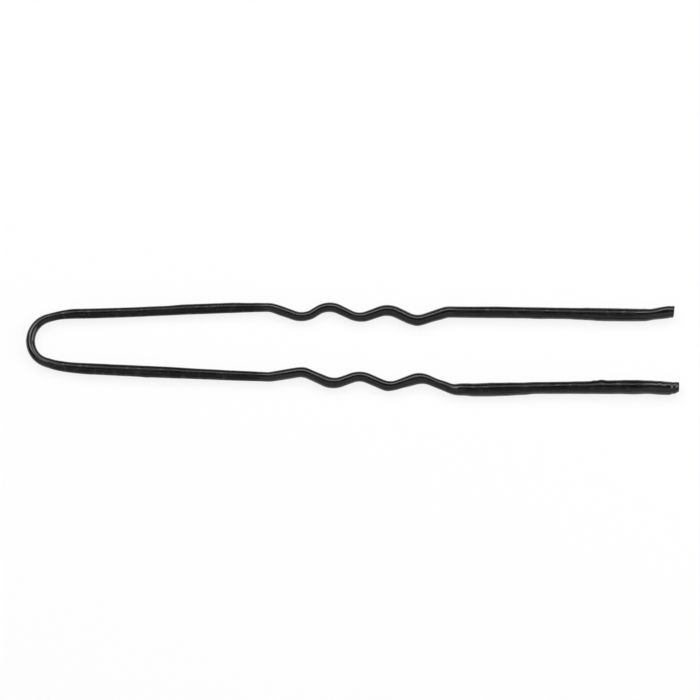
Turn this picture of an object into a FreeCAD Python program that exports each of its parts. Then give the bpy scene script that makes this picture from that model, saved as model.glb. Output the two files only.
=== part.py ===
import FreeCAD, Part
import enum
import math
import os
import Sketcher

# A crimped hairpin lying flat: a steel wire bent to a U, a black lacquer film over it, and two dipped tips.
# Frame: +X from the bow to the tips, +Y towards the left leg, +Z up, in millimetres.
# The origin is the middle of the pin's length, on the bow's axis, on the surface that the pin lies on.

SIZES = (
    ("wire_diameter", 0.86, "bare steel wire"),
    ("lacquer_film", 0.08, "film on the bow, the shanks and the crimps"),
    ("prong_film", 0.19, "film at the edge of a dip, where the last coat ran down and gathered"),
    ("dip_wall", 0.22, "wall of a dipped tip, over the first thin film"),
    ("tip_wall", 0.30, "plastic past the end of the wire"),
    ("mouth_round", 0.06, "rounding of a dip's edge on the prong"),
    ("tip_round", 0.18, "rounding of a dip's outer end"),
    ("crown_radius", 2.65, "bend of the bow's crown"),
    ("crown_angle", 70.5, "turn of the crown on each side of the apex"),
    ("shoulder_radius", 10.3, "wide bend from the crown into a shank"),
    ("bow_lead", 0.69, "straight from the shoulder to the rounded end of a leg"),
    ("knuckle_clearance", 0.05, "running gap round the end of a leg"),
    ("crimp_bend_radius", 2.31, "bend of every crimp"),
    ("dip_run", 6.4, "straight of a prong inside its dip"),
    ("tip_bend_radius", 6.0, "bend of a tip"),
    ("tip_run", 2.4, "straight of the wire after the tip's bend"),
    ("left_shank_angle", 2.98, "outward slope of the left shank"),
    ("left_shank_length", 19.31, "left shank from the flex to the crimps"),
    ("left_flank_1_angle", -19.6, "outward slope of the left leg's first flank, into the first trough"),
    ("left_flank_1_length", 2.24, "straight of the left leg's first flank"),
    ("left_flank_2_angle", 34.1, "outward slope of its second flank, the steepest, up to the first crest"),
    ("left_flank_2_length", 0.57, "straight of its second flank"),
    ("left_flank_3_angle", -25.7, "outward slope of its third flank"),
    ("left_flank_3_length", 1.39, "straight of its third flank"),
    ("left_flank_4_angle", 21.3, "outward slope of its fourth flank"),
    ("left_flank_4_length", 1.35, "straight of its fourth flank"),
    ("left_flank_5_angle", -25.5, "outward slope of its fifth flank"),
    ("left_flank_5_length", 1.36, "straight of its fifth flank"),
    ("left_flank_6_angle", 20.4, "outward slope of its last flank, up to the prong"),
    ("left_flank_6_length", 2.06, "straight of its last flank"),
    ("left_prong_angle", -0.10, "outward slope of the left prong"),
    ("left_prong_length", 13.95, "left prong from the crimps to the dip"),
    ("left_tip_angle", 9.7, "outward turn of the left tip"),
    ("right_shank_angle", 1.85, "outward slope of the right shank"),
    ("right_shank_length", 19.30, "right shank from the flex to the crimps"),
    ("right_flank_1_angle", -11.0, "outward slope of the right leg's first flank, the flattest"),
    ("right_flank_1_length", 2.71, "straight of the right leg's first flank"),
    ("right_flank_2_angle", 23.7, "outward slope of its second flank, up to the first crest"),
    ("right_flank_2_length", 1.86, "straight of its second flank"),
    ("right_flank_3_angle", -21.6, "outward slope of its third flank"),
    ("right_flank_3_length", 1.17, "straight of its third flank"),
    ("right_flank_4_angle", 23.6, "outward slope of its fourth flank"),
    ("right_flank_4_length", 1.50, "straight of its fourth flank"),
    ("right_flank_5_angle", -19.5, "outward slope of its fifth flank"),
    ("right_flank_5_length", 1.87, "straight of its fifth flank"),
    ("right_flank_6_angle", 22.9, "outward slope of its last flank, up to the prong"),
    ("right_flank_6_length", 2.24, "straight of its last flank"),
    ("right_prong_angle", -2.01, "outward slope of the right prong"),
    ("right_prong_length", 14.23, "right prong from the crimps to the dip"),
    ("right_tip_angle", 3.5, "outward turn of the right tip"),
)

SHEET_NAME = "sizes"
LAYOUT_NAME = "layout"
HANDS = {"left": 1, "right": -1}
Z_AXIS = FreeCAD.Vector(0, 0, 1)
MIDDLE = FreeCAD.Vector(0, 0, 0)
# A rounding takes at most this share of the wall that it is on.
ROUND_SHARE = 0.9
# A swept volume may miss its section times its length by this share.
SWEEP_MISS = 0.001

# The centreline's members, from the apex of the bow to the outer end of a tip. The first flank goes inwards.
FLANKS = [f"flank_{place}" for place in range(1, 7)]
BENDS = [f"bend_{place}" for place in range(1, 8)]
CRIMP_MEMBERS = [member for pair in zip(BENDS, FLANKS) for member in pair] + BENDS[-1:]
BOW_MEMBERS = ["crown", "shoulder", "lead", "knuckle"]
SHANK_MEMBERS = ["knuckle", "shank"]
WIRE_TIP_MEMBERS = ["dip_run", "tip_bend", "tip_run"]
LEG_MEMBERS = SHANK_MEMBERS + CRIMP_MEMBERS + ["prong"] + WIRE_TIP_MEMBERS


class PointOf(enum.IntEnum):
    """The points of a sketch's geometry: an edge's first and last end, and an arc's centre."""

    FIRST_END = 1
    LAST_END = 2
    CENTRE = 3


class SketchAxis(enum.IntEnum):
    """A sketch's own axes. Its origin is the first end of its X axis."""

    X = -1
    Y = -2


ORIGIN = (SketchAxis.X, PointOf.FIRST_END)


class Size:
    """A length or an angle that knows both its number and its formula on the sheet."""

    def __init__(self, number, formula):
        self.number = number
        self.formula = formula

    def __add__(self, other):
        return Size(self.number + other.number, f"({self.formula} + {other.formula})")

    def __mul__(self, factor):
        return Size(self.number * factor, f"({self.formula} * {factor})")

    def __truediv__(self, divisor):
        return Size(self.number / divisor, f"({self.formula} / {divisor})")

    def at_most(self, other):
        return Size(min(self.number, other.number), f"min({self.formula}; {other.formula})")


def make_sheet(doc):
    """The sheet of driving sizes, one row each: name, number, note."""
    sheet = doc.addObject("Spreadsheet::Sheet", SHEET_NAME)
    for row, (name, number, note) in enumerate(SIZES, start=1):
        sheet.set(f"A{row}", name)
        sheet.set(f"B{row}", str(number))
        sheet.setAlias(f"B{row}", name)
        sheet.set(f"C{row}", note)
    doc.recompute()
    return {name: Size(sheet.get(name), f"{SHEET_NAME}.{name}") for name, _, _ in SIZES}


def wire_radius(size):
    """Radius of the bare wire."""
    return size["wire_diameter"] / 2


def film_radius(size):
    """Radius over the thin film."""
    return wire_radius(size) + size["lacquer_film"]


def thick_film_radius(size):
    """Radius over the thick film at the edge of a dip."""
    return wire_radius(size) + size["prong_film"]


def dip_radius(size):
    """Radius over a dipped tip."""
    return film_radius(size) + size["dip_wall"]


def tie(sketch, ties):
    """Adds constraints together. One that comes with a size takes its value from that size's formula."""
    places = sketch.addConstraint([constraint for constraint, _ in ties])
    for place, (_, size) in zip(places, ties):
        if size is not None:
            sketch.setExpression(f"Constraints[{place}]", size.formula)


class PathPen:
    """Draws half of the pin's centreline from the bow's apex, each straight and bend tied to its sizes."""

    def __init__(self, sketch, side, apex_reach):
        self.sketch = sketch
        self.hand = HANDS[side]
        self.members = {}
        self.ends = {}
        self.arcs = set()
        self.ties = []
        self.point = FreeCAD.Vector(apex_reach.number, 0, 0)
        self.heading = self.hand * math.pi / 2
        self.last = None

    def add(self, kind, *values, size=None):
        self.ties.append((Sketcher.Constraint(kind, *values), size))

    def arc(self, name, radius, turn):
        """An arc on from the last point that turns the path by an angle in radians; returns its start."""
        bend_side = 1 if turn > 0 else -1
        from_centre = self.heading - bend_side * math.pi / 2
        outwards = FreeCAD.Vector(math.cos(from_centre), math.sin(from_centre), 0)
        centre = self.point - outwards * radius.number
        angles = sorted((from_centre, from_centre + turn))
        circle = Part.Circle(centre, Z_AXIS, radius.number)
        geometry = self.sketch.addGeometry(Part.ArcOfCircle(circle, *angles), False)
        start, end = PointOf.FIRST_END, PointOf.LAST_END
        if turn < 0:
            start, end = end, start
        self.add("Radius", geometry, radius.number, size=radius)
        self.arcs.add(name)
        self.heading += turn
        leaving = FreeCAD.Vector(math.cos(from_centre + turn), math.sin(from_centre + turn), 0)
        self.point = centre + leaving * radius.number
        self.members[name] = geometry
        self.ends[name] = (geometry, end)
        self.last = name
        return geometry, start

    def crown(self, apex_reach, radius, half_angle, apex):
        """The half crown, which leaves the apex square to the pin's axis."""
        span = math.radians(half_angle.number)
        self.apex = self.arc("crown", radius, -self.hand * span)
        geometry = self.apex[0]
        self.add("PointOnObject", geometry, PointOf.CENTRE, SketchAxis.X)
        self.add("Angle", geometry, span, size=half_angle)
        if apex is None:
            self.add("PointOnObject", *self.apex, SketchAxis.X)
            self.add("DistanceX", *ORIGIN, *self.apex, apex_reach.number, size=apex_reach)
        else:
            self.add("Coincident", *self.apex, *apex)

    def bend(self, name, radius, heading):
        """A bend, tangent to what comes before it, that ends at an outward heading in degrees."""
        before = self.ends[self.last]
        turn = self.hand * math.radians(heading.number) - self.heading
        start = self.arc(name, radius, turn)
        self.add("Tangent", *before, *start)

    def straight(self, name, length, heading):
        """A straight of a given length at an outward heading in degrees."""
        meets = "Tangent" if self.last in self.arcs else "Coincident"
        before = self.ends[self.last]
        self.heading = self.hand * math.radians(heading.number)
        step = FreeCAD.Vector(math.cos(self.heading), math.sin(self.heading), 0) * length.number
        geometry = self.sketch.addGeometry(Part.LineSegment(self.point, self.point + step), False)
        self.add(meets, *before, geometry, PointOf.FIRST_END)
        self.add("Angle", geometry, self.heading, size=heading * self.hand)
        self.add("Distance", geometry, length.number, size=length)
        self.point = self.point + step
        self.members[name] = geometry
        self.ends[name] = (geometry, PointOf.LAST_END)
        self.last = name

    def end_point(self, name):
        return self.sketch.getPoint(*self.ends[name])

    def length(self, name):
        return self.sketch.Geometry[self.members[name]].length()

    def edge(self, name):
        """The name of the edge that a member of the path became: the edge with the same middle."""
        member = self.sketch.Geometry[self.members[name]]
        middle = member.value((member.FirstParameter + member.LastParameter) / 2)
        gaps = []
        for edge in self.sketch.Shape.Edges:
            edge_middle = edge.valueAt((edge.FirstParameter + edge.LastParameter) / 2)
            gaps.append(edge_middle.distanceToPoint(middle))
        return f"Edge{gaps.index(min(gaps)) + 1}"


def draw_half(sketch, side, size, apex=None):
    """One half of the pin's centreline. A second half starts at the first one's apex."""
    apex_reach = film_radius(size)
    shank_heading = size[f"{side}_shank_angle"]
    prong_heading = size[f"{side}_prong_angle"]
    tip_heading = prong_heading + size[f"{side}_tip_angle"]
    pen = PathPen(sketch, side, apex_reach)
    pen.crown(apex_reach, size["crown_radius"], size["crown_angle"], apex)
    pen.bend("shoulder", size["shoulder_radius"], shank_heading)
    pen.straight("lead", size["bow_lead"], shank_heading)
    pen.straight("knuckle", film_radius(size), shank_heading)
    pen.straight("shank", size[f"{side}_shank_length"], shank_heading)
    for bend, flank in zip(BENDS, FLANKS):
        flank_heading = size[f"{side}_{flank}_angle"]
        pen.bend(bend, size["crimp_bend_radius"], flank_heading)
        pen.straight(flank, size[f"{side}_{flank}_length"], flank_heading)
    pen.bend(BENDS[-1], size["crimp_bend_radius"], prong_heading)
    pen.straight("prong", size[f"{side}_prong_length"], prong_heading)
    pen.straight("dip_run", size["dip_run"], prong_heading)
    pen.bend("tip_bend", size["tip_bend_radius"], tip_heading)
    pen.straight("tip_run", size["tip_run"], tip_heading)
    pen.straight("tip_wall", size["tip_wall"], tip_heading)
    tie(sketch, pen.ties)
    return pen


def make_layout(doc, size):
    """The whole centreline, from which the pieces read where the legs flex and how far the tips reach."""
    layout = doc.addObject("Sketcher::SketchObject", LAYOUT_NAME)
    pens = {"left": draw_half(layout, "left", size)}
    pens["right"] = draw_half(layout, "right", size, pens["left"].apex)
    for side, pen in pens.items():
        flex = pen.end_point("knuckle")
        tip = pen.end_point("tip_wall")
        measures = (
            (f"{side}_flex_x", "DistanceX", "knuckle", flex.x),
            (f"{side}_flex_y", "DistanceY", "knuckle", flex.y),
            (f"{side}_reach", "DistanceX", "tip_wall", tip.x),
        )
        for name, kind, member, value in measures:
            place = layout.addConstraint(Sketcher.Constraint(kind, *ORIGIN, *pen.ends[member], value))
            layout.setDriving(place, False)
            layout.renameConstraint(place, name)
    doc.recompute()
    return pens


def make_body(doc, name, size):
    """A body for one piece, set so that the pin is centred and its dipped tips touch what it lies on."""
    body = doc.addObject("PartDesign::Body", name)
    body.Label = name
    reach = f"max({LAYOUT_NAME}.Constraints.left_reach; {LAYOUT_NAME}.Constraints.right_reach)"
    body.setExpression("Placement.Base.x", f"-{reach} / 2")
    body.setExpression("Placement.Base.z", dip_radius(size).formula)
    return body


def flat_sketch(body, name):
    """A sketch on the level plane of its own body."""
    sketch = body.newObject("Sketcher::SketchObject", name)
    level = [plane for plane in body.Origin.OriginFeatures if plane.Role == "XY_Plane"][0]
    sketch.AttachmentSupport = [(level, "")]
    sketch.MapMode = "FlatFace"
    return sketch


def make_path(body, side, size):
    """A piece's own copy of one half of the centreline."""
    pen = draw_half(flat_sketch(body, f"{body.Name}_path"), side, size)
    body.Document.recompute()
    return pen


def make_ring(body, name, pen, member, at_end, radii):
    """A sketch of one circle, or of two for a sleeve, square across the path at one end of a straight."""
    ring = body.newObject("Sketcher::SketchObject", name)
    ring.AttachmentSupport = [(pen.sketch, pen.edge(member))]
    ring.MapMode = "NormalToEdge"
    ring.MapPathParameter = 1.0 if at_end else 0.0
    ties = []
    for radius in radii:
        circle = ring.addGeometry(Part.Circle(MIDDLE, Z_AXIS, radius.number), False)
        ties.append((Sketcher.Constraint("Coincident", circle, PointOf.CENTRE, *ORIGIN), None))
        ties.append((Sketcher.Constraint("Radius", circle, radius.number), radius))
    tie(ring, ties)
    body.Document.recompute()
    return ring


def volume(body):
    """The body's volume so far; a new body has none."""
    return 0.0 if body.Shape.isNull() else body.Shape.Volume


def sweep(body, name, ring, spine, cutting=False):
    """Sweeps a ring along members of the path, or cuts that sweep out of the body, and checks its volume."""
    before = volume(body)
    kind = "PartDesign::SubtractivePipe" if cutting else "PartDesign::AdditivePipe"
    pipe = body.newObject(kind, name)
    pipe.Profile = ring
    pipe.Spine = (spine[0][0].sketch, [pen.edge(member) for pen, member in spine])
    body.Document.recompute()
    areas = sorted((math.pi * circle.Radius ** 2 for circle in ring.Geometry), reverse=True)
    section = areas[0] - sum(areas[1:])
    expected = section * sum(pen.length(member) for pen, member in spine)
    change = abs(volume(body) - before)
    if abs(change - expected) > SWEEP_MISS * expected:
        raise ValueError(f"{name} swept {change:.4f} where its section and length make {expected:.4f}")


def flex_sketch(body, name, side, size):
    """A level sketch whose origin is the place where a leg flexes, with its X axis along the shank."""
    sketch = flat_sketch(body, name)
    splay = size[f"{side}_shank_angle"] * HANDS[side]
    sketch.AttachmentOffset = FreeCAD.Placement(MIDDLE, FreeCAD.Rotation(Z_AXIS, abs(splay.number)))
    sketch.setExpression("AttachmentOffset.Base.x", f"{LAYOUT_NAME}.Constraints.{side}_flex_x")
    sketch.setExpression("AttachmentOffset.Base.y", f"{LAYOUT_NAME}.Constraints.{side}_flex_y")
    sketch.setExpression("AttachmentOffset.Rotation.Angle", splay.formula)
    return sketch


def cut_through(body, name, sketch):
    """Cuts a sketch's shape right through the body, and makes sure that it took something away."""
    before = volume(body)
    body.Document.recompute()
    pocket = body.newObject("PartDesign::Pocket", name)
    pocket.Profile = sketch
    pocket.Type = "ThroughAll"
    pocket.SideType = "Symmetric"
    body.Document.recompute()
    if volume(body) >= before:
        raise ValueError(f"{name} cut nothing away")


def hollow_knuckle(body, side, size):
    """The hollow end of the bow, which goes round the end of a leg with a running gap."""
    hollow = film_radius(size) + size["knuckle_clearance"]
    sketch = flex_sketch(body, f"{body.Name}_{side}_hollow", side, size)
    circle = sketch.addGeometry(Part.Circle(MIDDLE, Z_AXIS, hollow.number), False)
    tie(sketch, [
        (Sketcher.Constraint("Coincident", circle, PointOf.CENTRE, *ORIGIN), None),
        (Sketcher.Constraint("Radius", circle, hollow.number), hollow),
    ])
    cut_through(body, f"{body.Name}_{side}_hollow_cut", sketch)


def round_knuckle(body, side, size):
    """Rounds the end of a leg about the line on which it flexes: a half ring behind that line is cut off."""
    sketch = flex_sketch(body, f"{body.Name}_knuckle_ring", side, size)
    arcs = []
    ties = []
    for radius in (film_radius(size), film_radius(size) * 2):
        circle = Part.Circle(MIDDLE, Z_AXIS, radius.number)
        arc = sketch.addGeometry(Part.ArcOfCircle(circle, math.pi / 2, 3 * math.pi / 2), False)
        arcs.append(arc)
        ties.append((Sketcher.Constraint("Coincident", arc, PointOf.CENTRE, *ORIGIN), None))
        ties.append((Sketcher.Constraint("PointOnObject", arc, PointOf.FIRST_END, SketchAxis.Y), None))
        ties.append((Sketcher.Constraint("PointOnObject", arc, PointOf.LAST_END, SketchAxis.Y), None))
        ties.append((Sketcher.Constraint("Radius", arc, radius.number), radius))
    inner, outer = arcs
    for end in (PointOf.FIRST_END, PointOf.LAST_END):
        points = [sketch.getPoint(arc, end) for arc in arcs]
        across = sketch.addGeometry(Part.LineSegment(*points), False)
        ties.append((Sketcher.Constraint("Coincident", across, PointOf.FIRST_END, inner, end), None))
        ties.append((Sketcher.Constraint("Coincident", across, PointOf.LAST_END, outer, end), None))
    tie(sketch, ties)
    cut_through(body, f"{body.Name}_knuckle_cut", sketch)


def make_bow(doc, name, size, radii):
    """A stretch over the whole bow, hollowed at both ends for the legs."""
    body = make_body(doc, name, size)
    path = flat_sketch(body, f"{name}_path")
    left = draw_half(path, "left", size)
    right = draw_half(path, "right", size, left.apex)
    doc.recompute()
    ring = make_ring(body, f"{name}_ring", left, "knuckle", True, radii)
    spine = [(left, member) for member in reversed(BOW_MEMBERS)]
    spine += [(right, member) for member in BOW_MEMBERS]
    sweep(body, f"{name}_sweep", ring, spine)
    for side in HANDS:
        hollow_knuckle(body, side, size)
    return body


def make_leg_wire(doc, side, size):
    """The steel of one leg, from its rounded end at the bow to the end of the wire in the tip."""
    name = f"{side}_leg_wire"
    body = make_body(doc, name, size)
    pen = make_path(body, side, size)
    ring = make_ring(body, f"{name}_ring", pen, "knuckle", False, [wire_radius(size)])
    sweep(body, f"{name}_sweep", ring, [(pen, member) for member in LEG_MEMBERS])
    round_knuckle(body, side, size)
    return body


def make_shank_lacquer(doc, side, size):
    """The film on the straight shank, rounded like the wire at the bow."""
    name = f"{side}_shank_lacquer"
    body = make_body(doc, name, size)
    pen = make_path(body, side, size)
    ring = make_ring(body, f"{name}_ring", pen, "knuckle", False, [film_radius(size), wire_radius(size)])
    sweep(body, f"{name}_sweep", ring, [(pen, member) for member in SHANK_MEMBERS])
    round_knuckle(body, side, size)
    return body


def make_crimp_lacquer(doc, side, size):
    """The film on the crimps."""
    name = f"{side}_crimp_lacquer"
    body = make_body(doc, name, size)
    pen = make_path(body, side, size)
    ring = make_ring(body, f"{name}_ring", pen, "shank", True, [film_radius(size), wire_radius(size)])
    sweep(body, f"{name}_sweep", ring, [(pen, member) for member in CRIMP_MEMBERS])
    return body


def make_prong_lacquer(doc, side, size):
    """The film on a prong: it thickens from the crimps to the dip, and goes on thin under the dip."""
    name = f"{side}_prong_lacquer"
    body = make_body(doc, name, size)
    pen = make_path(body, side, size)
    thin = make_ring(body, f"{name}_thin", pen, "prong", False, [film_radius(size)])
    thick = make_ring(body, f"{name}_thick", pen, "prong", True, [thick_film_radius(size)])
    taper = body.newObject("PartDesign::AdditiveLoft", f"{name}_taper")
    taper.Profile = thin
    taper.Sections = [(thick, "")]
    taper.Ruled = True
    doc.recompute()
    under_dip = make_ring(body, f"{name}_under_dip", pen, "dip_run", False, [film_radius(size)])
    sweep(body, f"{name}_tip", under_dip, [(pen, member) for member in WIRE_TIP_MEMBERS])
    core = make_ring(body, f"{name}_core", pen, "prong", False, [wire_radius(size)])
    bore = [(pen, member) for member in ["prong"] + WIRE_TIP_MEMBERS]
    sweep(body, f"{name}_bore", core, bore, cutting=True)
    return body


def round_rim(body, name, centre, rim_radius, rounding):
    """Rounds the round edge that has a given centre and radius."""
    base = body.Tip
    rims = []
    for place, edge in enumerate(base.Shape.Edges, start=1):
        curve = edge.Curve
        if isinstance(curve, Part.Circle) and curve.Center.isEqual(centre, rim_radius / 10):
            if math.isclose(curve.Radius, rim_radius, rel_tol=SWEEP_MISS):
                rims.append(f"Edge{place}")
    fillet = body.newObject("PartDesign::Fillet", name)
    fillet.Base = (base, rims)
    fillet.setExpression("Radius", rounding.formula)
    body.Document.recompute()


def make_tip_dip(doc, side, size):
    """A dipped tip: a sleeve over the film, closed past the end of the wire."""
    name = f"{side}_tip_dip"
    body = make_body(doc, name, size)
    pen = make_path(body, side, size)
    outer = make_ring(body, f"{name}_outer", pen, "dip_run", False, [dip_radius(size)])
    sweep(body, f"{name}_sleeve", outer, [(pen, member) for member in WIRE_TIP_MEMBERS + ["tip_wall"]])
    inner = make_ring(body, f"{name}_inner", pen, "dip_run", False, [film_radius(size)])
    sweep(body, f"{name}_bore", inner, [(pen, member) for member in WIRE_TIP_MEMBERS], cutting=True)
    rim_radius = dip_radius(size).number
    mouth_round = size["mouth_round"].at_most(size["dip_wall"] * ROUND_SHARE)
    round_rim(body, f"{name}_mouth", pen.end_point("prong"), rim_radius, mouth_round)
    tip_round = size["tip_round"].at_most(size["tip_wall"] * ROUND_SHARE)
    round_rim(body, f"{name}_end", pen.end_point("tip_wall"), rim_radius, tip_round)
    return body


def make_pin(doc):
    """Every piece of the pin, in the document's own order."""
    size = make_sheet(doc)
    pens = make_layout(doc, size)
    pieces = [
        make_bow(doc, "bow_wire", size, [wire_radius(size)]),
        make_bow(doc, "bow_lacquer", size, [film_radius(size), wire_radius(size)]),
    ]
    notes = {"knuckle": "flexes at", "tip_bend": "bends its tip to", "tip_wall": "ends at"}
    for side, pen in pens.items():
        pieces.append(make_leg_wire(doc, side, size))
        pieces.append(make_shank_lacquer(doc, side, size))
        pieces.append(make_crimp_lacquer(doc, side, size))
        pieces.append(make_prong_lacquer(doc, side, size))
        pieces.append(make_tip_dip(doc, side, size))
        base = pieces[0].Placement.Base
        for member, note in notes.items():
            point = base + pen.end_point(member)
            print(f"{side} leg {note} {point.x:.4f} {point.y:.4f} {point.z:.4f}")
    return pieces


def check(doc, pieces):
    """Stops if any feature failed, or if a piece isn't one good solid."""
    for item in doc.Objects:
        if "Invalid" in item.State or "Error" in item.State:
            raise ValueError(f"{item.Label} failed: {item.State}")
    for piece in pieces:
        shape = piece.Shape
        if shape.isNull() or not shape.isValid() or len(shape.Solids) != 1:
            raise ValueError(f"{piece.Label} isn't one valid solid")


def write(pieces):
    """Writes each piece to its own file, and prints its volume and its box."""
    os.makedirs("parts", exist_ok=True)
    for piece in pieces:
        piece.Shape.exportStep(f"parts/{piece.Label}.step")
        box = piece.Shape.optimalBoundingBox(False)
        low = f"{box.XMin:.3f} {box.YMin:.3f} {box.ZMin:.3f}"
        high = f"{box.XMax:.3f} {box.YMax:.3f} {box.ZMax:.3f}"
        print(f"{piece.Label}: {piece.Shape.Volume:.4f} mm3, {low} to {high}")


def main():
    doc = FreeCAD.newDocument("hairpin")
    pieces = make_pin(doc)
    doc.recompute()
    check(doc, pieces)
    write(pieces)


main()
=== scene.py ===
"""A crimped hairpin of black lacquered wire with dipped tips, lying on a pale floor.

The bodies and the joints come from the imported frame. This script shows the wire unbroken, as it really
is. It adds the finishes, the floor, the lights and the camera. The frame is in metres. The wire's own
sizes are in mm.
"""

import math
from typing import NamedTuple

import bmesh
import bpy
import numpy as np
from mathutils import Matrix, Vector, noise


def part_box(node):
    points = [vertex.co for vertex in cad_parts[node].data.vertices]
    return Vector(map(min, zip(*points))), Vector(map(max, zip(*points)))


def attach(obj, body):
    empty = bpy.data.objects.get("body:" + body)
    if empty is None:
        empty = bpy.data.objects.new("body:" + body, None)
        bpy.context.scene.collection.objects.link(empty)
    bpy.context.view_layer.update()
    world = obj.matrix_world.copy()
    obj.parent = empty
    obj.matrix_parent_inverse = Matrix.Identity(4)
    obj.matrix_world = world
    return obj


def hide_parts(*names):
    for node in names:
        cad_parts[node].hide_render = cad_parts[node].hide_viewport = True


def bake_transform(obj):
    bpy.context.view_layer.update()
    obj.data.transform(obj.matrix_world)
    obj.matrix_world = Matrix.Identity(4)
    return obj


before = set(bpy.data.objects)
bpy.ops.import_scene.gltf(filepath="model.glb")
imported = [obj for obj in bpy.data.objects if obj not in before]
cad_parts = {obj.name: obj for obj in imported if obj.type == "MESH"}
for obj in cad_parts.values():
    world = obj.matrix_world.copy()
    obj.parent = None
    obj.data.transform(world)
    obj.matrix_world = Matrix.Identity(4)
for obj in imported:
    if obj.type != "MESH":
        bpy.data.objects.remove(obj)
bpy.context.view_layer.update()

MM = 0.001

# The wire's bends and straights in mm and degrees, from the bow to a tip, as in the part's source.
CROWN_RADIUS = 2.65
CROWN_ANGLE = 70.5
SHOULDER_RADIUS = 10.3
BOW_LEAD = 0.69
CRIMP_BEND_RADIUS = 2.31
DIP_RUN = 6.4
TIP_BEND_RADIUS = 6.0
TIP_RUN = 2.4
TIP_WALL = 0.30


class Leg(NamedTuple):
    """What differs between the two legs: outward slopes in degrees, and lengths in mm.

    The hand is 1 for the leg towards +Y and -1 for the other. A flank is a slope and a length.
    """

    hand: int
    shank_angle: float
    shank_length: float
    flanks: tuple
    prong_angle: float
    prong_length: float
    tip_angle: float


LEGS = {
    "left": Leg(
        hand=1,
        shank_angle=2.98,
        shank_length=19.31,
        flanks=((-19.6, 2.24), (34.1, 0.57), (-25.7, 1.39), (21.3, 1.35), (-25.5, 1.36), (20.4, 2.06)),
        prong_angle=-0.10,
        prong_length=13.95,
        tip_angle=9.7,
    ),
    "right": Leg(
        hand=-1,
        shank_angle=1.85,
        shank_length=19.30,
        flanks=((-11.0, 2.71), (23.7, 1.86), (-21.6, 1.17), (23.6, 1.50), (-19.5, 1.87), (22.9, 2.24)),
        prong_angle=-2.01,
        prong_length=14.23,
        tip_angle=3.5,
    ),
}

# How thick each coat came out, in mm. A row is a reach from the bow's outer edge, the coat's outer
# diameter there, and its lean to the outside.
LACQUER = {
    "left": (
        (0.0, 0.98, 0.02), (1.2, 0.97, 0.02), (3.0, 0.91, -0.01), (5.2, 1.08, -0.03), (7.5, 1.08, -0.06),
        (11.0, 1.07, -0.07), (14.5, 1.06, -0.03), (17.2, 1.13, 0.035), (22.0, 1.12, 0.045),
        (24.4, 1.01, 0.0), (25.7, 0.99, -0.03), (27.2, 1.05, 0.0), (31.0, 0.99, 0.0), (32.6, 1.05, 0.0),
        (35.0, 0.99, 0.0), (37.0, 1.10, 0.0), (39.0, 1.21, 0.0), (43.0, 1.16, 0.0), (44.7, 1.25, -0.04),
        (46.5, 1.23, -0.04), (51.0, 1.26, 0.01), (53.5, 1.25, 0.01), (58.0, 1.24, 0.02),
        (60.0, 1.12, 0.0), (70.0, 1.00, 0.0),
    ),
    "right": (
        (0.0, 0.98, 0.02), (1.2, 0.98, 0.045), (2.7, 1.05, -0.02), (4.4, 1.13, -0.05), (6.9, 1.22, 0.0),
        (11.7, 1.22, 0.0), (14.7, 1.24, 0.0), (19.0, 1.14, 0.0), (22.0, 1.10, 0.0), (25.4, 1.05, -0.03),
        (27.6, 1.12, 0.0), (30.5, 1.10, 0.0), (32.6, 1.19, 0.0), (34.5, 1.10, 0.0), (37.6, 1.09, 0.0),
        (39.8, 1.04, 0.0), (41.8, 1.25, 0.0), (43.8, 0.98, 0.0), (45.2, 1.08, -0.06),
        (46.8, 1.34, -0.05), (48.2, 1.43, 0.02), (49.9, 1.48, 0.02), (51.6, 1.45, 0.01),
        (53.3, 1.36, -0.01), (54.6, 1.30, -0.07), (57.6, 1.33, -0.04), (59.2, 1.37, -0.03),
        (61.0, 1.24, 0.0), (70.0, 1.02, 0.0),
    ),
}
DIPS = {
    "left": (
        (58.0, 1.23, 0.02), (59.3, 1.30, 0.0), (60.2, 1.37, -0.01), (61.3, 1.41, -0.03),
        (64.5, 1.41, -0.03), (66.2, 1.37, -0.01), (67.2, 1.22, -0.05), (68.2, 1.26, -0.07),
        (68.9, 1.29, -0.075), (69.5, 1.23, -0.115),
    ),
    "right": (
        (59.0, 1.36, -0.03), (60.2, 1.39, -0.01), (61.5, 1.48, -0.02), (63.6, 1.53, 0.0),
        (65.4, 1.56, 0.03), (66.4, 1.48, 0.05), (67.9, 1.50, 0.10), (68.9, 1.45, 0.12),
        (69.4, 1.36, 0.06), (70.0, 1.08, -0.06),
    ),
}


class TipEnd(NamedTuple):
    """How a dip ends: the slant of its cut in degrees, and a groove before it, in mm from the end."""

    slant: float
    groove_back: float
    groove_depth: float
    groove_length: float


TIP_ENDS = {"left": TipEnd(15, 0.42, 0.025, 0.12), "right": TipEnd(0, 0.62, 0.04, 0.16)}
# The rounding of a cut end, and the length over which a cut's slant grows, in mm.
END_ROUND = 0.07
SLANT_RUN = 1.5


class Bead(NamedTuple):
    """A blob in a coat, or the sharp outside corner of a crimp.

    Its reach, height and length are in mm. Its turn, up from the outside of the leg, and its width
    round the wire are in degrees.
    """

    reach: float
    turn: float
    height: float
    length: float
    width: float


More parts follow.
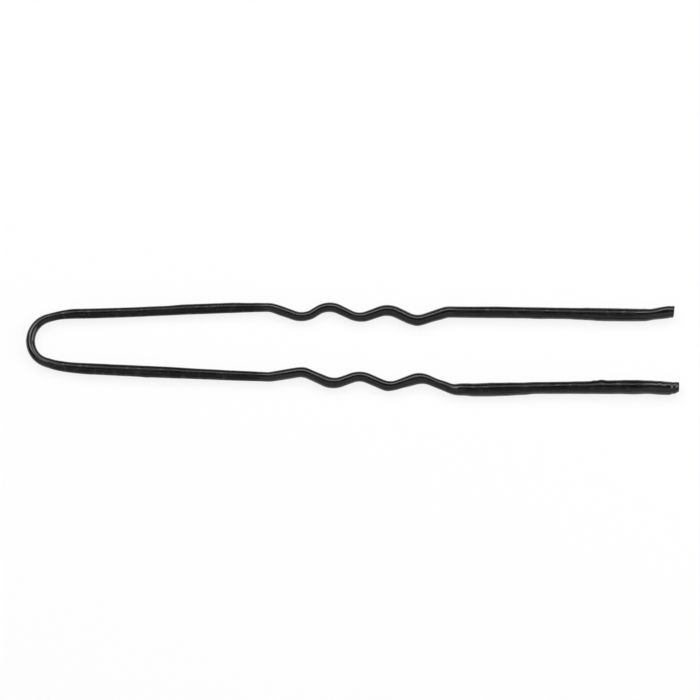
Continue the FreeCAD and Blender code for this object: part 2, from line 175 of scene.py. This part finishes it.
BEADS = {
    "left": (
        Bead(27.4, 160, 0.02, 0.4, 40), Bead(41.9, 180, 0.07, 0.4, 50), Bead(55.2, 200, 0.02, 0.8, 45),
    ),
    "right": (
        Bead(13.0, 10, 0.05, 0.5, 45), Bead(29.9, 180, 0.04, 0.4, 45), Bead(38.8, 0, 0.07, 0.4, 45),
        Bead(50.0, 160, 0.02, 0.5, 40),
    ),
}
DIP_BEADS = {
    "left": (Bead(62.5, 215, 0.02, 1.1, 50), Bead(68.5, 42, 0.07, 0.8, 32)),
    "right": (
        Bead(61.7, 155, 0.09, 0.4, 35), Bead(60.9, 165, 0.05, 0.2, 25), Bead(67.9, 128, 0.05, 0.3, 22),
        Bead(68.8, 120, 0.05, 0.25, 22), Bead(69.6, 125, 0.05, 0.2, 22),
    ),
}

# Mesh of the wire: points round a ring, and spaces between rings in mm.
RING_SIDES = 48
RING_TURNS = np.linspace(0, 2 * math.pi, RING_SIDES, endpoint=False)
CROWN_SPACING = 0.06
COAT_SPACING = 0.13
BORE_SPACING = 0.40
DIP_SPACING = 0.09
# Steps round the edge of a cut end, and rings on its face, as shares of its radius.
ROUND_STEPS = 8
FACE_SHARES = np.array((0.8, 0.5, 0.2))
# An edge sharper than this angle is not smoothed.
SHARP_EDGE = math.radians(50)
# Places along the wire that are searched for a reach.
SEARCH_STEPS = 4000
# A coat's lumps are this share of its thickness, about this far apart in mm.
LUMP_SHARE = 0.05
LUMP_SPACING = 1.7
# Finer lumps lie on them: this share as high, and this many times as close.
FINE_LUMP_SHARE = 0.4
FINE_LUMP_RATE = 2.7
# The lumps of the film and of the dips come from different places of one noise.
FILM_SEED = 1
DIP_SEED = 7
# A coat stays this far off the floor, in mm.
FLOOR_GAP = 0.006
# A dip's edge starts this far under the skin of the film, in mm.
FEATHER = 0.006
# A dip's bore lies this far inside the skin of the film, in mm.
BITE = 0.012
# The steel stays this far off the lacquer's bore, in mm.
STEEL_PLAY = 0.004
# The edge of a dip is crusty over this length, in mm.
CRUST_LENGTH = 0.9
# How glossy a coat stays on the straights, and the length in mm over which it turns into the bends'
# full gloss.
STRAIGHT_GLOSS = 0.25
GLOSS_FADE = 1.5
# On the prongs and the tips, the coat ran towards -Y and dried with a full gloss on that side. The gloss
# starts and is full where the skin faces -Y by these shares.
RUN_START = 0.40
RUN_FULL = 0.68
# The places this far along the wire on each side of the start of the shank, in mm, are found, but
# nothing bends there.
FLEX_REACH = 4.0

bow_low, bow_high = (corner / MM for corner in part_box("bow_lacquer"))
core_low, core_high = (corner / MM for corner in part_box("bow_wire"))
FILM_RADIUS = (bow_high.z - bow_low.z) / 2
WIRE_RADIUS = (core_high.z - core_low.z) / 2
WIRE_HEIGHT = (bow_high.z + bow_low.z) / 2
BOW_EDGE = bow_low.x


class WirePath:
    """Half of the wire's centreline in mm: straights and bends from the bow's apex to a tip's end."""

    def __init__(self, hand):
        self.hand = hand
        self.length = 0.0
        self.end = np.array((BOW_EDGE + FILM_RADIUS, 0.0))
        self.heading = hand * math.pi / 2
        self.runs = []
        self.starts = {}

    def run(self, name, length, turn=0.0):
        """Goes on for a length, and turns by an angle on the way."""
        self.runs.append((self.length, self.end, self.heading, turn / length))
        self.starts[name] = self.length
        self.length += length
        points, headings = self.follow(np.array([self.length]))
        self.end = points[0]
        self.heading = headings[0]

    def bend(self, name, radius, slope):
        """Bends to an outward slope in degrees."""
        turn = self.hand * math.radians(slope) - self.heading
        self.run(name, radius * abs(turn), turn)

    def follow(self, stations):
        """The points and headings at these lengths along the wire."""
        points = np.zeros((len(stations), 2))
        headings = np.zeros(len(stations))
        for start, point, heading, curl in self.runs:
            past = stations >= start
            along = stations[past] - start
            turned = heading + curl * along
            if curl:
                east = (np.sin(turned) - math.sin(heading)) / curl
                north = (math.cos(heading) - np.cos(turned)) / curl
            else:
                east = math.cos(heading) * along
                north = math.sin(heading) * along
            points[past] = point + np.stack([east, north], axis=1)
            headings[past] = turned
        return points, headings

    def reach(self, stations):
        """How far from the bow's outer edge these lengths along the wire come."""
        return self.follow(stations)[0][:, 0] - BOW_EDGE

    def station(self, reach):
        """The length along the wire that comes this far from the bow's outer edge."""
        stations = np.linspace(0.0, self.length, SEARCH_STEPS)
        return float(np.interp(reach, self.reach(stations), stations))

    def place(self, station):
        """A point of the centreline in the frame, in metres."""
        point = self.follow(np.array([station]))[0][0]
        return Vector((point[0], point[1], WIRE_HEIGHT)) * MM


def lay_wire(leg):
    """Lays one half of the wire as the part's source does."""
    path = WirePath(leg.hand)
    path.bend("crown", CROWN_RADIUS, 90 - CROWN_ANGLE)
    path.bend("shoulder", SHOULDER_RADIUS, leg.shank_angle)
    path.run("lead", BOW_LEAD)
    path.run("knuckle", FILM_RADIUS)
    path.run("shank", leg.shank_length)
    for place, (slope, length) in enumerate(leg.flanks):
        path.bend(f"crimp_{place}", CRIMP_BEND_RADIUS, slope)
        path.run(f"flank_{place}", length)
    path.bend("prong_bend", CRIMP_BEND_RADIUS, leg.prong_angle)
    path.run("prong", leg.prong_length)
    path.run("dip_run", DIP_RUN)
    path.bend("tip_bend", TIP_BEND_RADIUS, leg.prong_angle + leg.tip_angle)
    path.run("tip_run", TIP_RUN)
    path.run("tip_wall", TIP_WALL)
    return path


def spread(start, end, spacing):
    """Evenly spaced stations from a start to an end, in either direction."""
    return np.linspace(start, end, max(2, round(abs(end - start) / spacing) + 1))


def eased(table, reaches):
    """The radii and leans of a coat at these reaches, with soft steps from row to row."""
    rows = np.array(table)
    place = np.clip(np.searchsorted(rows[:, 0], reaches) - 1, 0, len(rows) - 2)
    share = np.clip((reaches - rows[place, 0]) / (rows[place + 1, 0] - rows[place, 0]), 0, 1)
    share = share * share * (3 - 2 * share)
    values = rows[place] + (rows[place + 1] - rows[place]) * share[:, None]
    return values[:, 1] / 2, values[:, 2]


def lumps(stations, seed):
    """Soft lumps of a coat, from about -1 to 1, for every point of the rings at these stations."""
    found = np.zeros((len(stations), RING_SIDES))
    for row, station in enumerate(stations):
        for column, turn in enumerate(RING_TURNS):
            spot = Vector((station / LUMP_SPACING, math.cos(turn), seed + math.sin(turn)))
            fine = noise.noise(spot * FINE_LUMP_RATE)
            found[row, column] = noise.noise(spot) + FINE_LUMP_SHARE * fine
    return found


def bead_heights(beads, reaches):
    """How far the beads lift a coat at every point of the rings at these reaches."""
    heights = np.zeros((len(reaches), RING_SIDES))
    for bead in beads:
        along = (reaches - bead.reach) / bead.length
        turned = np.angle(np.exp(1j * (RING_TURNS - math.radians(bead.turn))))
        around = turned / math.radians(bead.width)
        heights += bead.height * np.exp(-along[:, None] ** 2) * np.exp(-around[None, :] ** 2)
    return heights


class Rings(NamedTuple):
    """Rings of points in mm: in the frame, and on the straight wire, as (length along, across, height).

    The right half's lengths along are below zero, so that the whole wire is one line.
    """

    points: np.ndarray
    straight: np.ndarray


def make_rings(path, stations, radii, leans, slides=0.0):
    """Rings across the wire, down to the floor at most. A slide sets a ring's outside further along."""
    centres, headings = path.follow(stations)
    forward = np.stack([np.cos(headings), np.sin(headings)], axis=1)
    outward = path.hand * np.stack([-np.sin(headings), np.cos(headings)], axis=1)
    radii = np.broadcast_to(radii.reshape(len(stations), -1), (len(stations), RING_SIDES))
    across = leans[:, None] + radii * np.cos(RING_TURNS)
    height = np.maximum(radii * np.sin(RING_TURNS), FLOOR_GAP - WIRE_HEIGHT)
    ahead = across * np.broadcast_to(slides, stations.shape)[:, None]
    points = np.empty((len(stations), RING_SIDES, 3))
    points[..., :2] = centres[:, None, :] + across[..., None] * outward[:, None, :]
    points[..., :2] += ahead[..., None] * forward[:, None, :]
    points[..., 2] = WIRE_HEIGHT + height
    along = path.hand * (stations[:, None] + ahead)
    return Rings(points, np.stack([along, across, height], axis=-1))


def ring_edges(row):
    """The edges round a ring, as pairs of its points' numbers."""
    numbers = [row * RING_SIDES + side for side in range(RING_SIDES)]
    return list(zip(numbers, numbers[1:] + numbers[:1]))


def skin(name, parts, closed):
    """A closed skin over rows of rings: joined end to end, or closed by a point at each end."""
    rings = np.concatenate([part.points for part in parts])
    straight_rings = np.concatenate([part.straight for part in parts])
    count = len(rings)
    faces = []
    for row in range(count if closed else count - 1):
        next_row = (row + 1) % count
        for (first, second), (fourth, third) in zip(ring_edges(row), ring_edges(next_row)):
            faces.append((first, second, third, fourth))
    points = rings.reshape(-1, 3)
    straight = straight_rings.reshape(-1, 3)
    if not closed:
        for row in (0, count - 1):
            middle = len(points)
            points = np.vstack([points, rings[row].mean(axis=0)])
            straight = np.vstack([straight, straight_rings[row].mean(axis=0)])
            faces += [(first, second, middle) for first, second in ring_edges(row)]
    mesh = bpy.data.meshes.new(name)
    mesh.from_pydata((points * MM).tolist(), [], faces)
    shell = bmesh.new()
    shell.from_mesh(mesh)
    bmesh.ops.recalc_face_normals(shell, faces=shell.faces)
    shell.to_mesh(mesh)
    shell.free()
    mesh.polygons.foreach_set("use_smooth", np.ones(len(mesh.polygons), bool))
    mesh.set_sharp_from_angle(angle=SHARP_EDGE)
    stored = mesh.attributes.new("straight_wire", "FLOAT_VECTOR", "POINT")
    stored.data.foreach_set("vector", straight.ravel())
    piece = bpy.data.objects.new(name, mesh)
    bpy.context.scene.collection.objects.link(piece)
    return piece


def mark_skin(piece, path, edge):
    """Stores how crusty each point is, most at the edge of the dip, and how glossy.

    The tools that bent the wire burnished the crown, the crimps and the tip. The straights stayed
    duller, but for the side of a prong that the coat ran to.
    """
    place = np.zeros(len(piece.data.vertices) * 3, np.float32)
    piece.data.attributes["straight_wire"].data.foreach_get("vector", place)
    along, across, height = place.reshape(-1, 3).T
    stations = np.abs(along)
    crust = np.exp(-((stations - edge) / CRUST_LENGTH) ** 2)
    gloss = np.full(len(stations), STRAIGHT_GLOSS)
    burnished = (
        (path.starts["crown"], path.starts["shoulder"]),
        (path.starts["crimp_0"], path.starts["prong"]),
        (path.starts["tip_bend"], math.inf),
    )
    for first, last in burnished:
        outside = np.maximum(first - stations, stations - last)
        gloss = np.maximum(gloss, np.clip(1 - outside / GLOSS_FADE, 0, 1))
    facing = -path.hand * np.cos(np.arctan2(height, across))
    run = np.clip((facing - RUN_START) / (RUN_FULL - RUN_START), 0, 1)
    run *= np.clip(1 - (path.starts["prong"] - stations) / GLOSS_FADE, 0, 1)
    gloss = np.maximum(gloss, run)
    for name, values in (("crust", crust), ("gloss", gloss)):
        piece.data.attributes.new(name, "FLOAT", "POINT").data.foreach_set("value", values)


def lacquer_surface(side, path, stations):
    """The radii round each ring, and the leans, of the lacquer's outer skin.

    The bumps fade out towards the apex of the bow, where the two halves meet.
    """
    reaches = path.reach(stations)
    radii, leans = eased(LACQUER[side], reaches)
    film = (radii - WIRE_RADIUS)[:, None]
    bumps = LUMP_SHARE * film * lumps(stations, FILM_SEED * path.hand)
    bumps += bead_heights(BEADS[side], reaches)
    bumps *= np.clip(stations / CROWN_RADIUS, 0, 1)[:, None]
    return radii[:, None] + bumps, leans


def dip_edge(side, path):
    """The length along the wire at which a dip starts."""
    first_reach, _, _ = DIPS[side][0]
    return path.station(first_reach)


def make_lacquer(side, path):
    """The film on one half of the wire, from the apex of the bow to the end of the wire in its dip."""
    wire_end = path.starts["tip_wall"]
    shoulder = path.starts["shoulder"]
    crown = spread(0.0, shoulder, CROWN_SPACING)[:-1]
    outer = np.concatenate([crown, spread(shoulder, wire_end, COAT_SPACING)])
    inner = spread(wire_end, 0.0, BORE_SPACING)
    radii, leans = lacquer_surface(side, path, outer)
    bore = np.full(len(inner), WIRE_RADIUS)
    coat = make_rings(path, outer, radii, leans)
    lining = make_rings(path, inner, bore, np.zeros(len(inner)))
    piece = skin(f"{side}_lacquer", [coat, lining], closed=True)
    mark_skin(piece, path, dip_edge(side, path))
    return piece


def make_steel(side, path):
    """The steel of one half of the wire, from the apex of the bow to the end inside the dip."""
    stations = spread(0.0, path.starts["tip_wall"] - STEEL_PLAY, BORE_SPACING)
    radii = np.full(len(stations), WIRE_RADIUS - STEEL_PLAY)
    core = make_rings(path, stations, radii, np.zeros(len(stations)))
    return skin(f"{side}_steel", [core], closed=False)


def dip_surface(side, path, stations):
    """The radii round each ring, and the leans, of a dip's outside before its end is cut."""
    reaches = path.reach(stations)
    radii, leans = eased(DIPS[side], reaches)
    bumps = LUMP_SHARE * (radii - WIRE_RADIUS)[:, None] * lumps(stations, DIP_SEED * path.hand)
    bumps += bead_heights(DIP_BEADS[side], reaches)
    grown = np.clip((stations - dip_edge(side, path)) / CRUST_LENGTH, 0, 1)[:, None]
    film, _ = lacquer_surface(side, path, stations)
    return np.maximum(radii[:, None] + grown * bumps, film - FEATHER), leans


def make_dip(side, path):
    """The dipped tip: its outside swells from a feathered edge, and its bore follows the film."""
    # The bore, from the end of the wire back to the dip's edge.
    edge = dip_edge(side, path)
    bore_stations = spread(path.starts["tip_wall"] + BITE, edge, DIP_SPACING)
    bore_radii, bore_leans = lacquer_surface(side, path, bore_stations)
    bore = make_rings(path, bore_stations, bore_radii - BITE, bore_leans)

    # The outside, from the edge to the rounding of the cut end.
    steps = np.linspace(0, math.pi / 2, ROUND_STEPS + 1)
    rounded = path.length - END_ROUND + END_ROUND * np.sin(steps)
    stations = np.concatenate([spread(edge, path.length - END_ROUND, DIP_SPACING)[:-1], rounded])
    radii, leans = dip_surface(side, path, stations)
    end = TIP_ENDS[side]
    back = path.length - stations
    groove = end.groove_depth * np.exp(-((back - end.groove_back) / end.groove_length) ** 2)
    past = np.clip(END_ROUND - back, 0, END_ROUND)
    inset = END_ROUND - np.sqrt(END_ROUND ** 2 - past ** 2)
    radii = radii - (groove + inset)[:, None]
    slant = math.tan(math.radians(end.slant))
    slides = slant * np.clip(1 - back / SLANT_RUN, 0, 1)
    outside = make_rings(path, stations, radii, leans, slides)

    # The face of the cut end.
    face_stations = np.full(len(FACE_SHARES), path.length)
    face_radii = radii[-1] * FACE_SHARES[:, None]
    face_leans = np.full(len(FACE_SHARES), leans[-1])
    face = make_rings(path, face_stations, face_radii, face_leans, slant)
    piece = skin(f"{side}_dip", [bore, outside, face], closed=False)
    mark_skin(piece, path, edge)
    return piece


class Value:
    """An output of a node. Python's operators on one that is a number add Math nodes."""

    def __init__(self, finish, socket):
        self.finish = finish
        self.socket = socket

    def __add__(self, other):
        return self.finish.math("ADD", self, other)

    def __rsub__(self, other):
        return self.finish.math("SUBTRACT", other, self)

    def __mul__(self, other):
        return self.finish.math("MULTIPLY", self, other)

    __radd__ = __add__
    __rmul__ = __mul__


class Pattern(NamedTuple):
    """A noise on the straight wire: its rates per mm along, across and up, and its detail."""

    rates: tuple
    detail: float


class Finish:
    """The nodes of one material, or of the world."""

    def __init__(self, owner):
        owner.use_nodes = True
        self.tree = owner.node_tree
        self.tree.nodes.clear()

    def node(self, kind, settings=None, sockets=None):
        """Adds a node: first its settings, then a value or a link for each socket.

        Returns its outputs by name.
        """
        made = self.tree.nodes.new(kind)
        for name, setting in (settings or {}).items():
            setattr(made, name, setting)
        inputs = [socket for socket in made.inputs if socket.enabled]
        for key, value in (sockets or {}).items():
            if isinstance(key, int):
                socket = inputs[key]
            else:
                socket = next(entry for entry in inputs if entry.name == key)
            if isinstance(value, Value):
                self.tree.links.new(value.socket, socket)
            else:
                socket.default_value = value
        return {socket.name: Value(self, socket) for socket in made.outputs if socket.enabled}

    def math(self, operation, first, second):
        """A sum, a difference or a product of two numbers."""
        return self.node("ShaderNodeMath", {"operation": operation}, {0: first, 1: second})["Value"]

    def attribute(self, name, output):
        """What a mesh stores at its points under this name."""
        return self.node("ShaderNodeAttribute", {"attribute_name": name})[output]

    def scaled(self, place, rates):
        """A place, with each of its coordinates times its own rate."""
        settings = {"operation": "MULTIPLY"}
        return self.node("ShaderNodeVectorMath", settings, {0: place, 1: rates})["Vector"]

    def noise(self, place, pattern):
        """The soft noise of a pattern, from 0 to 1."""
        sockets = {"Vector": self.scaled(place, pattern.rates), "Scale": 1.0, "Detail": pattern.detail}
        return self.node("ShaderNodeTexNoise", None, sockets)["Fac"]

    def ramp(self, value, levels):
        """0 below one level and 1 above another, with a soft step between them."""
        low, high = levels
        sockets = {"Value": value, "From Min": low, "From Max": high}
        return self.node("ShaderNodeMapRange", {"interpolation_type": "SMOOTHSTEP"}, sockets)["Result"]

    def mix(self, share, first, second):
        """One colour turning into another."""
        settings = {"data_type": "RGBA", "clamp_factor": True}
        return self.node("ShaderNodeMix", settings, {"Factor": share, "A": first, "B": second})["Result"]

    def bump(self, height, distance):
        """The direction of a skin with this relief, where a height of 1 is this distance in metres."""
        return self.node("ShaderNodeBump", None, {"Height": height, "Distance": distance})["Normal"]

    def surface(self, shader, kind="ShaderNodeOutputMaterial"):
        """Gives a shader to the material, or to the world."""
        self.node(kind, None, {"Surface": shader})


# The patterns of a black coat, and the levels of noise between which the ones with soft edges come up.
MOTTLE = Pattern((0.8, 1.3, 1.3), 4.0)
MOTTLE_LEVELS = (0.35, 0.68)
LINES = Pattern((0.22, 6.0, 6.0), 3.0)
STREAK_LEVELS = (0.40, 0.62)
SPECKS = Pattern((1.7, 1.2, 1.2), 2.0)
SPECK_LEVELS = (0.54, 0.66)
PEEL = Pattern((4.5, 5.5, 5.5), 1.0)
GRAIN = Pattern((11.0, 11.0, 11.0), 2.0)
# Its two shades, and how much of the pale one the mottling and the streaks bring.
COAT_DARK = (0.0006, 0.0006, 0.0006, 1)
COAT_PALE = (0.008, 0.008, 0.008, 1)
MOTTLE_PALE = 0.4
STREAK_PALE = 0.6
# Its refraction, its smoothest roughness, and what the mottling, the lines and the crust add to that.
COAT_IOR = 1.22
COAT_ROUGHNESS = 0.22
MOTTLE_ROUGHNESS = 0.10
LINE_ROUGHNESS = 0.08
CRUST_ROUGHNESS = 0.10
# The height of its lines in metres, and the heights of its peel and its crust as shares of that.
COAT_RELIEF = 4.0e-6
PEEL_HEIGHT = 0.35
CRUST_HEIGHT = 1.2
# The glossy skin over it: its refraction and roughness, what the mottling takes from it, and what the
# specks bring back where the coat is dull.
GLOSS_IOR = 1.42
GLOSS_ROUGHNESS = 0.08
MOTTLE_LOSS = 0.35
SPECK_GLOSS = 0.6


def coat_finish(name):
    """A black coat under a glossy skin.

    It is mottled, with faint lines along the wire, crust at a dip's edge and glossy specks.
    """
    material = bpy.data.materials.new(name)
    finish = Finish(material)
    place = finish.attribute("straight_wire", "Vector")
    crust = finish.attribute("crust", "Fac")
    gloss = finish.attribute("gloss", "Fac")
    mottle = finish.ramp(finish.noise(place, MOTTLE), MOTTLE_LEVELS)
    lines = finish.noise(place, LINES)
    streaks = finish.ramp(lines, STREAK_LEVELS)
    specks = finish.ramp(finish.noise(place, SPECKS), SPECK_LEVELS)
    peel = finish.noise(place, PEEL)
    grain = finish.noise(place, GRAIN)
    paleness = MOTTLE_PALE * mottle + STREAK_PALE * streaks
    roughness = COAT_ROUGHNESS + MOTTLE_ROUGHNESS * mottle + LINE_ROUGHNESS * lines
    height = PEEL_HEIGHT * peel + lines + CRUST_HEIGHT * crust * grain
    shader = finish.node("ShaderNodeBsdfPrincipled", None, {
        "Base Color": finish.mix(paleness, COAT_DARK, COAT_PALE),
        "Roughness": roughness + CRUST_ROUGHNESS * crust,
        "IOR": COAT_IOR,
        "Normal": finish.bump(height, COAT_RELIEF),
        "Coat Weight": gloss * (1 - MOTTLE_LOSS * mottle) + SPECK_GLOSS * specks * (1 - gloss),
        "Coat Roughness": GLOSS_ROUGHNESS,
        "Coat IOR": GLOSS_IOR,
    })["BSDF"]
    finish.surface(shader)
    return material


# Bright drawn wire: its lines, its two shades, its roughness and what the lines add to it, and the
# height of the lines in metres.
STEEL_LINES = Pattern((0.9, 9.0, 9.0), 3.0)
STEEL_DARK = (0.42, 0.42, 0.43, 1)
STEEL_PALE = (0.58, 0.58, 0.59, 1)
STEEL_ROUGHNESS = 0.24
STEEL_LINE_ROUGHNESS = 0.18
STEEL_RELIEF = 2.0e-6


def steel_finish():
    """Bright drawn wire, with fine lines along it."""
    material = bpy.data.materials.new("spring_steel")
    finish = Finish(material)
    lines = finish.noise(finish.attribute("straight_wire", "Vector"), STEEL_LINES)
    shader = finish.node("ShaderNodeBsdfPrincipled", None, {
        "Base Color": finish.mix(lines, STEEL_DARK, STEEL_PALE),
        "Metallic": 1.0,
        "Roughness": STEEL_ROUGHNESS + STEEL_LINE_ROUGHNESS * lines,
        "Normal": finish.bump(lines, STEEL_RELIEF),
    })["BSDF"]
    finish.surface(shader)
    return material


# The floor's profile in metres: flat, then rising to a low rim far away, as (radius, height).
FLOOR_PROFILE = (
    (0.0, 0.0), (0.3, 0.0), (1.0, 0.0), (2.4, 0.0), (3.0, 0.02), (3.5, 0.10), (3.9, 0.24), (4.1, 0.42),
)
FLOOR_SIDES = 96
# Points of the floor closer than this become one, in metres.
FLOOR_MERGE = 1e-5
# The floor's colour in the light, and the share of plain white that the camera and mirrors see instead.
FLOOR_COLOUR = (0.72, 0.72, 0.72, 1)
FLOOR_WHITE = (1.0, 1.0, 1.0, 1)
FLOOR_GLOW_SHARE = 0.85


def floor_finish():
    """A pale floor, nearly white to the camera and in reflections. It keeps the pin's shadow."""
    material = bpy.data.materials.new("pale_floor")
    finish = Finish(material)
    lit = finish.node("ShaderNodeBsdfDiffuse", None, {"Color": FLOOR_COLOUR})["BSDF"]
    white = finish.node("ShaderNodeEmission", None, {"Color": FLOOR_WHITE, "Strength": 1.0})["Emission"]
    rays = finish.node("ShaderNodeLightPath")
    seen = rays["Is Camera Ray"] + rays["Is Glossy Ray"] + rays["Is Transmission Ray"]
    sockets = {0: FLOOR_GLOW_SHARE * seen, 1: lit, 2: white}
    finish.surface(finish.node("ShaderNodeMixShader", None, sockets)["Shader"])
    return material


def make_floor():
    """A floor that turns up into a low rim far from the pin."""
    mesh = bpy.data.meshes.new("floor")
    shell = bmesh.new()
    profile = [shell.verts.new((radius, 0.0, height)) for radius, height in FLOOR_PROFILE]
    edges = [shell.edges.new(pair) for pair in zip(profile, profile[1:])]
    bmesh.ops.spin(shell, geom=profile + edges, cent=(0, 0, 0), axis=(0, 0, 1), dvec=(0, 0, 0),
                   angle=2 * math.pi, steps=FLOOR_SIDES, use_merge=True)
    bmesh.ops.remove_doubles(shell, verts=shell.verts, dist=FLOOR_MERGE)
    bmesh.ops.recalc_face_normals(shell, faces=shell.faces)
    shell.to_mesh(mesh)
    shell.free()
    mesh.polygons.foreach_set("use_smooth", np.ones(len(mesh.polygons), bool))
    mesh.materials.append(floor_finish())
    floor = bpy.data.objects.new("floor", mesh)
    bpy.context.scene.collection.objects.link(floor)


class Softbox(NamedTuple):
    """A soft light: direction in degrees, distance and size in metres, and brightness, where 1 is white.

    Its width runs along one of the pin's axes: a leg mirrors a light along X, and the crown one along Y.
    """

    azimuth: float
    elevation: float
    distance: float
    along: str
    width: float
    height: float
    brightness: float


SOFTBOXES = {
    "back_softbox": Softbox(97, 52, 0.50, "X", 0.80, 0.22, 4.0),
    "bow_softbox": Softbox(150, 59, 0.50, "Y", 0.20, 0.30, 4.0),
    "tip_softbox": Softbox(8, 38, 0.50, "Y", 0.32, 0.40, 4.0),
    "front_softbox": Softbox(270, 43, 0.60, "X", 1.30, 0.74, 0.68),
}
WORLD_GREY = (0.06, 0.06, 0.06, 1)
AXES = {"X": Vector((1, 0, 0)), "Y": Vector((0, 1, 0))}


def direction(azimuth, elevation):
    """A direction from an azimuth, turned from +X to +Y, and an elevation, in degrees."""
    turn = math.radians(azimuth)
    rise = math.radians(elevation)
    return Vector((math.cos(turn) * math.cos(rise), math.sin(turn) * math.cos(rise), math.sin(rise)))


def make_lights():
    """The softboxes, which the camera does not see, and a dim grey world."""
    for name, box in SOFTBOXES.items():
        lamp = bpy.data.lights.new(name, "AREA")
        lamp.shape = "RECTANGLE"
        lamp.size = box.width
        lamp.size_y = box.height
        lamp.energy = box.brightness * math.pi * box.width * box.height
        towards = direction(box.azimuth, box.elevation)
        light = bpy.data.objects.new(name, lamp)
        width_axis = (AXES[box.along] - towards * towards.dot(AXES[box.along])).normalized()
        turned = Matrix((width_axis, towards.cross(width_axis), towards)).transposed()
        light.matrix_world = Matrix.Translation(towards * box.distance) @ turned.to_4x4()
        light.visible_camera = False
        bpy.context.scene.collection.objects.link(light)
    world = bpy.data.worlds.new("studio")
    bpy.context.scene.world = world
    finish = Finish(world)
    sockets = {"Color": WORLD_GREY, "Strength": 1.0}
    shader = finish.node("ShaderNodeBackground", None, sockets)["Background"]
    finish.surface(shader, "ShaderNodeOutputWorld")


# The photograph's view: degrees round from -Y and above the floor, the point in its middle, and its
# width there. The frame's metres are used, but for the lens and the sensor in mm.
VIEW_AZIMUTH = 0.95
VIEW_ELEVATION = 72.0
VIEW_MIDDLE = Vector((-0.25, -0.55, 0.73)) * MM
VIEW_WIDTH = 75.0 * MM
CLIP_START = 0.01
CLIP_END = 10.0
LENS = 300.0
SENSOR = 36.0


def make_camera():
    """The camera, with a long lens, so far back that the view has its width."""
    data = bpy.data.cameras.new("camera")
    data.lens = LENS
    data.sensor_width = SENSOR
    data.clip_start = CLIP_START
    data.clip_end = CLIP_END
    camera = bpy.data.objects.new("camera", data)
    back = direction(VIEW_AZIMUTH - 90, VIEW_ELEVATION)
    camera.location = VIEW_MIDDLE + back * (VIEW_WIDTH * LENS / SENSOR)
    camera.rotation_euler = (-back).to_track_quat("-Z", "Y").to_euler()
    bpy.context.scene.collection.objects.link(camera)
    bpy.context.scene.camera = camera


def dress(piece, material, nodes):
    """Gives a piece its finish and its material slot, and hides the nodes that it stands for."""
    piece.data.materials.append(material)
    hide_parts(*nodes)


make_camera()
make_floor()
make_lights()

coats = {slot: coat_finish(slot) for slot in ("black_lacquer", "tip_plastic")}
steel_look = steel_finish()
for side, leg in LEGS.items():
    path = lay_wire(leg)
    steel = make_steel(side, path)
    dress(steel, steel_look, ["bow_wire", f"{side}_leg_wire"])
    lacquer = make_lacquer(side, path)
    stretches = [f"{side}_{stretch}_lacquer" for stretch in ("shank", "crimp", "prong")]
    dress(lacquer, coats["black_lacquer"], ["bow_lacquer"] + stretches)
    flex = path.starts["shank"]
    for piece in (steel, lacquer):
        path.place(flex - FLEX_REACH)
        path.place(flex + FLEX_REACH)
        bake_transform(piece)
    dip = make_dip(side, path)
    dress(dip, coats["tip_plastic"], [f"{side}_tip_dip"])
    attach(dip, f"{side}_leg")

bpy.context.scene.view_settings.view_transform = "Standard"
bpy.context.view_layer.update()
